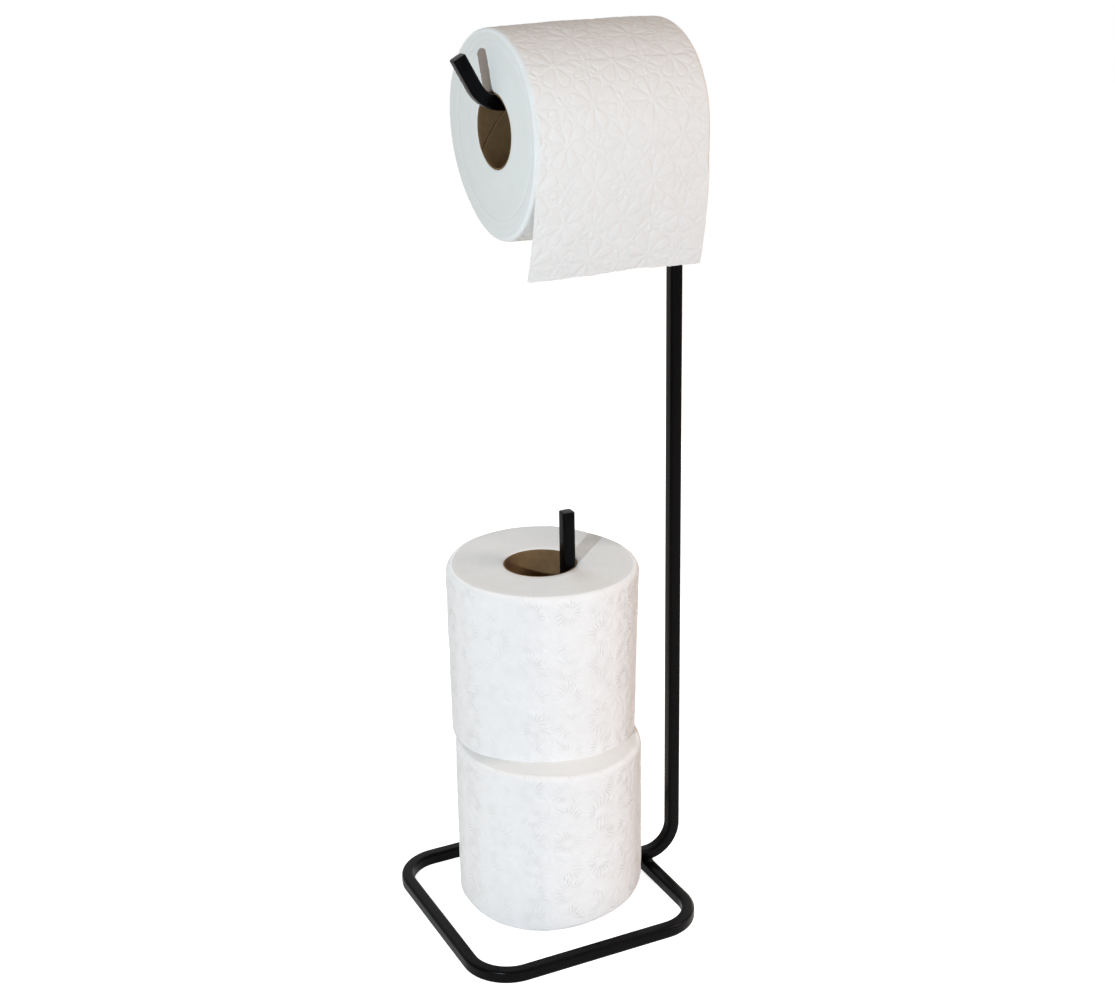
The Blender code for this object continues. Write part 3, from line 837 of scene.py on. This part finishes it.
def addLastSheet(turns):
    # The last perforated sheet. It follows the roll's outline down from the perforation, leaves it where the
    # outline turns away, and hangs down with an inward curl that grows with the square of the drop
    look, edge, half = lastSheet, hungRoll["edgeRound"], rolls["width"] / 2
    thickness = rolls["sheetThickness"]
    across = np.linspace(-half, half, look["columns"] + 1)
    u = across / (2 * half) + 0.5
    leaveZ = between(look["leaveHeights"], u)
    # the angle at which the outline has come down to that height, found by putting it in again
    leaveAngle = np.full_like(across, math.pi)
    for _ in range(6):
        leaveAngle = math.pi + np.arcsin((turnAxis[2] - leaveZ) / hungOutline(leaveAngle, u * 2 * half))
    leaveY = hungOutline(leaveAngle, u * 2 * half) * np.cos(leaveAngle)
    above = leaveAngle - look["slopeStep"]
    aboveRadius = hungOutline(above, u * 2 * half)
    slope = (leaveY - aboveRadius * np.cos(above)) / (turnAxis[2] + aboveRadius * np.sin(above) - leaveZ)
    curl = between(look["curls"], u)

    onRoll = np.linspace(0, 1, look["rollRows"] + 1)[:, None]
    topAngle = hungRoll["perforationAngle"] + look["topGap"]
    angles = topAngle + (leaveAngle - topAngle) * onRoll
    free = np.linspace(0, 1, look["freeRows"] + 1)[1:, None]
    tie = np.maximum(0, np.cos(fullTurn * across / look["tuftPitch"]))
    tuft = tie ** look["tuftPower"] * look["tuftLength"]
    rises = np.interp(u, np.linspace(0, 1, len(look["tearRises"])), look["tearRises"]) * mm
    uneven = look["tearUneven"] * softNoise(look["seed"], look["tearLength"], across[:, None]) - rises
    drop = (leaveZ - look["tearHeight"] + uneven) * free + tuft * free ** look["tuftReach"]
    wave = look["ripple"] * free ** 2 * softNoise(look["seed"] + 1, look["rippleLength"], across[:, None])
    # the rounded edges: an arc of the edge's radius on the roll, opened out flat where the sheet hangs free
    opened = smoothStep(drop / look["edgeOpens"])
    bend = np.concatenate([np.ones_like(angles), 1 - opened]) + look["leastBend"]
    beyond = np.maximum(0, np.abs(across) - half + edge) / edge * np.ones_like(bend)
    inset = edge * (1 - np.cos(beyond * bend)) / bend
    aside = np.sign(across) * (np.minimum(np.abs(across), half - edge) + edge * np.sin(beyond * bend) / bend)
    depths = aside + half
    radius = hungOutline(angles, depths[:len(angles)]) - thickness / 2 - inset[:len(angles)]
    hanging = leaveY + thickness / 2 + slope * drop * np.exp(-drop / look["edgeOpens"]) + curl * drop ** 2
    y = np.concatenate([radius * np.cos(angles), hanging + wave + inset[len(angles):]])
    z = np.concatenate([radius * np.sin(angles), leaveZ - turnAxis[2] - drop])
    local = np.stack([y, z, depths], -1)
    steps = np.linalg.norm(np.diff(local, axis=0), axis=-1)
    along = np.concatenate([np.zeros((1, len(across))), np.cumsum(steps, 0)])
    print("last sheet, length along its middle: %.1f mm" % (along[-1, len(across) // 2] / mm))
    along = along + fullTurn * hungRoll["meanRadius"]
    points = hungPlace(y, z, depths)
    normal = np.cross(np.gradient(points, axis=0), np.gradient(points, axis=1))
    normal /= np.linalg.norm(normal, axis=-1, keepdims=True)
    height, pressed = pressedPaper(hungRoll["seed"], along, depths, local)
    height = height * look["relief"]
    halfWall = 0.5 * (thickness - (thickness - look["edgeThickness"]) * smoothStep(beyond) * bend)
    front = points + normal * (height + halfWall)[..., None]
    back = points + normal * (height - halfWall)[..., None]

    grid = np.arange(height.size).reshape(height.shape)
    sheetFaces = gridFaces(*height.shape)
    rims = [np.stack([line[:-1], line[1:], line[1:] + height.size, line[:-1] + height.size], -1)
            for line in (grid[0], grid[::-1, 0], grid[-1, ::-1], grid[:, -1])]
    faces = np.concatenate([sheetFaces[:, ::-1], sheetFaces + height.size, *rims])
    paper = np.stack([along, depths, np.hypot(y, z)], -1)
    sheet = makePiece("lastSheet", np.stack([front, back]), faces, [embossedTissue], 50,
                      np.stack([paper, paper]), np.stack([pressed, pressed]))
    place(sheet, "hung_sheet", "tissue_paper", "hanging_sheet")


addLastSheet(addHungRoll())
print("roll in use made")


weld = {
    "crownPower": 1.5,     # face of the fillet: leg * (cos^1.5, sin^1.5)
    "faceSteps": 10,
    "runSteps": 40,
    "ripples": 7,          # the puddle's scales along the run
    "rippleShare": 0.05,
    "endPower": 0.35,      # how bluntly both ends close
}


def addWeld(name, node, first, second):
    # A fillet in the corner of two flat sides: its legs point along first and second, and it runs square to
    # both. Its size swells at each ripple and falls off at both ends as a power of 1 - s^2
    low, high = (np.array(corner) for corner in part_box(node))
    first, second = np.array(first), np.array(second)
    run = np.abs(np.cross(first, second))
    corner = np.where(first + second > 0, low, high) * (1 - run) + (low + high) / 2 * run
    leg, half = (high - low) @ np.abs(first), (high - low) @ run / 2
    swing = np.linspace(0, math.pi / 2, weld["faceSteps"] + 1)
    crown = np.stack([np.cos(swing), np.sin(swing)], -1).clip(0) ** weld["crownPower"]
    outline = np.concatenate([[[0, 0]], crown])
    s = np.sin(np.linspace(-math.pi / 2, math.pi / 2, weld["runSteps"] + 1))
    ripple = 1 - weld["rippleShare"] * (1 - np.abs(np.sin(math.pi * weld["ripples"] * (s + 1) / 2)))
    size = leg * (1 - s ** 2).clip(0) ** weld["endPower"] * ripple
    flat = outline[None, :, :] * size[:, None, None]
    points = corner + flat[..., :1] * first + flat[..., 1:] * second + (s * half)[:, None, None] * run
    faces = gridFaces(len(s), len(outline), False, True)
    # the run points along an axis, so the legs' order decides which way the faces are wound
    if np.cross(first, second).sum() < 0:
        faces = faces[:, ::-1]
    piece = makePiece(name, points, faces, [blackPowderCoat], 60)
    closePoles(piece)
    place(piece, "holder", "black_powder_coat", node)


addWeld("footWeldFront", "foot_weld_front", (0, -1, 0), (0, 0, 1))
addWeld("footWeldRear", "foot_weld_rear", (0, 1, 0), (0, 0, 1))
addWeld("pegWeld", "spindle_weld", (-1, 0, 0), (0, 0, 1))
print("welds made")


# Camera at the photograph's angle

camera = {
    "place": (-0.40598, -0.85054, 0.59571),   # metres; the angles are in radians
    "yaw": 0.449,
    "pitch": 0.347,
    "roll": -0.018,
    "focalPixels": 1786.83,
    "imageWidth": 1115,
    "sensorWidth": 36.0,
}


def addCamera():
    # Turned from looking straight down: up to the pitch, round the view axis by the roll, aside by the yaw
    made = addObject("photoCamera", bpy.data.cameras.new("photoCamera"))
    made.data.sensor_width = camera["sensorWidth"]
    made.data.lens = camera["focalPixels"] / camera["imageWidth"] * camera["sensorWidth"]
    made.data.clip_start, made.data.clip_end = 0.01, 50
    turn = Matrix.Rotation(-camera["yaw"], 4, "Z") @ Matrix.Rotation(math.pi / 2 - camera["pitch"], 4, "X")
    made.matrix_world = Matrix.Translation(camera["place"]) @ turn @ Matrix.Rotation(camera["roll"], 4, "Z")
    bpy.context.scene.camera = made


addCamera()

bpy.context.scene.view_settings.view_transform = "Standard"

studio = {
    "ambient": 0.326,
    "ambientColour": "#ffebdb",
    "floorColour": "#e6e4e1",
    "floorSide": 6.0,
    "floorGap": 0.1 * mm,
    "floorGlow": 0.85,
    "backdropSide": (0.75, 0.66, 0.0),
    "frontGlow": 0.06,
    "glowFrom": -0.4,            # how far round to the front the backdrop's white reaches: a cosine
    # name: watts, colour, place, aim, size, for a spot the half angles in degrees where its beam starts to
    # fade and ends, and whether the coat mirrors it
    "lamps": {
        "keyOnRollInUse": (23.1, "#e2f6ff", (-0.741, -0.47, 0.47), (0.02, 0, 0.46), 12 * mm, (6.5, 9.5),
                           False),
        "keyOnSpares": (42.5, "#eaf6ff", (-0.80, -0.787, 0.62), (0, 0, 0.11), 20 * mm, (7.5, 10.5), True),
        "fillBox": (8.0, "#fff0e5", (0.92, -0.75, 0.85), (0, 0, 0.25), 0.5, None, True),
        "frontBox": (1.65, "#a7ccff", (-0.1, -1.3, 0.30), (0, 0, 0.25), 0.6, None, True),
        "backBox": (4.1, "#c7e9ff", (0.0, 0.9, 0.95), (0, 0, 0.3), 0.7, None, False),
        "rearSideBox": (3.0, "#fff0e5", (1.0, 0.75, 0.3), (0, 0, 0.25), 0.5, None, True),
    },
}


def backgroundRays(add, where):
    # 1 for the rays that should see a white studio: the camera's, reflections and through glass. Reflections
    # see it dim on the front's side. where is the world's direction, or the floor's place in metres
    path = add("LightPath")
    back = add("VectorMath", {"operation": "DOT_PRODUCT", 1: studio["backdropSide"]}, {0: where})
    shown = add("MapRange", {"From Min": studio["glowFrom"], "To Min": studio["frontGlow"]},
                {"Value": back.outputs["Value"]})
    seen = add("Math", {"operation": "MULTIPLY"}, {0: path.outputs["Is Glossy Ray"], 1: shown})
    for ray in ("Is Camera Ray", "Is Transmission Ray"):
        seen = add("Math", {"operation": "MAXIMUM"}, {0: path.outputs[ray], 1: seen})
    return seen


def addLamp(name, power, colour, position, aim, size, beam, glossy):
    light = bpy.data.lights.new(name, "SPOT" if beam else "AREA")
    light.energy, light.color = power, toLinear(colour)[:3]
    if beam:
        # between the two half angles the beam fades; the blend is a share of 1 - cos of the outer one
        fade, end = (1 - math.cos(math.radians(angle)) for angle in beam)
        light.spot_size, light.spot_blend = 2 * math.radians(beam[1]), 1 - fade / end
        light.shadow_soft_size = size
    else:
        light.shape, light.size = "DISK", size
    made = addObject(name, light)
    towards = Vector(aim) - Vector(position)
    made.matrix_world = Matrix.Translation(position) @ towards.to_track_quat("-Z", "Y").to_matrix().to_4x4()
    made.visible_camera = False
    made.visible_glossy = glossy


def floorSurface(add, look):
    # Matt and pale, and white to the rays that should see a white studio
    where = add("NewGeometry").outputs["Position"]
    glow = add("Math", {"operation": "MULTIPLY", 1: look["floorGlow"]}, {0: backgroundRays(add, where)})
    matt = add("BsdfDiffuse", {"Color": toLinear(look["floorColour"])})
    light = add("Emission", {"Color": (1, 1, 1, 1)}, {"Strength": glow})
    return add("AddShader", None, {0: matt, 1: light})


def addStudio():
    world = bpy.data.worlds.new("softStudio")
    bpy.context.scene.world = world
    world.use_nodes = True
    world.node_tree.nodes.clear()
    add = partial(addNode, world.node_tree)
    seen = backgroundRays(add, add("TexCoord").outputs["Generated"])
    ambient = add("Background", {"Color": toLinear(studio["ambientColour"]), "Strength": studio["ambient"]})
    white = add("Background", {"Color": (1, 1, 1, 1), "Strength": 1.0})
    mixed = add("MixShader", None, {0: seen, 1: ambient, 2: white})
    add("OutputWorld", None, {"Surface": mixed})

    floorFinish = makeFinish("paleStudioFloor", floorSurface, studio)
    ends = np.array([-0.5, 0.5]) * studio["floorSide"]
    x, y = np.meshgrid(ends, ends, indexing="ij")
    points = np.stack([x, y, np.full_like(x, -studio["floorGap"])], -1)
    makePiece("studioFloor", points, gridFaces(2, 2)[:, ::-1], [floorFinish])
    for name, lamp in studio["lamps"].items():
        addLamp(name, *lamp)


addStudio()
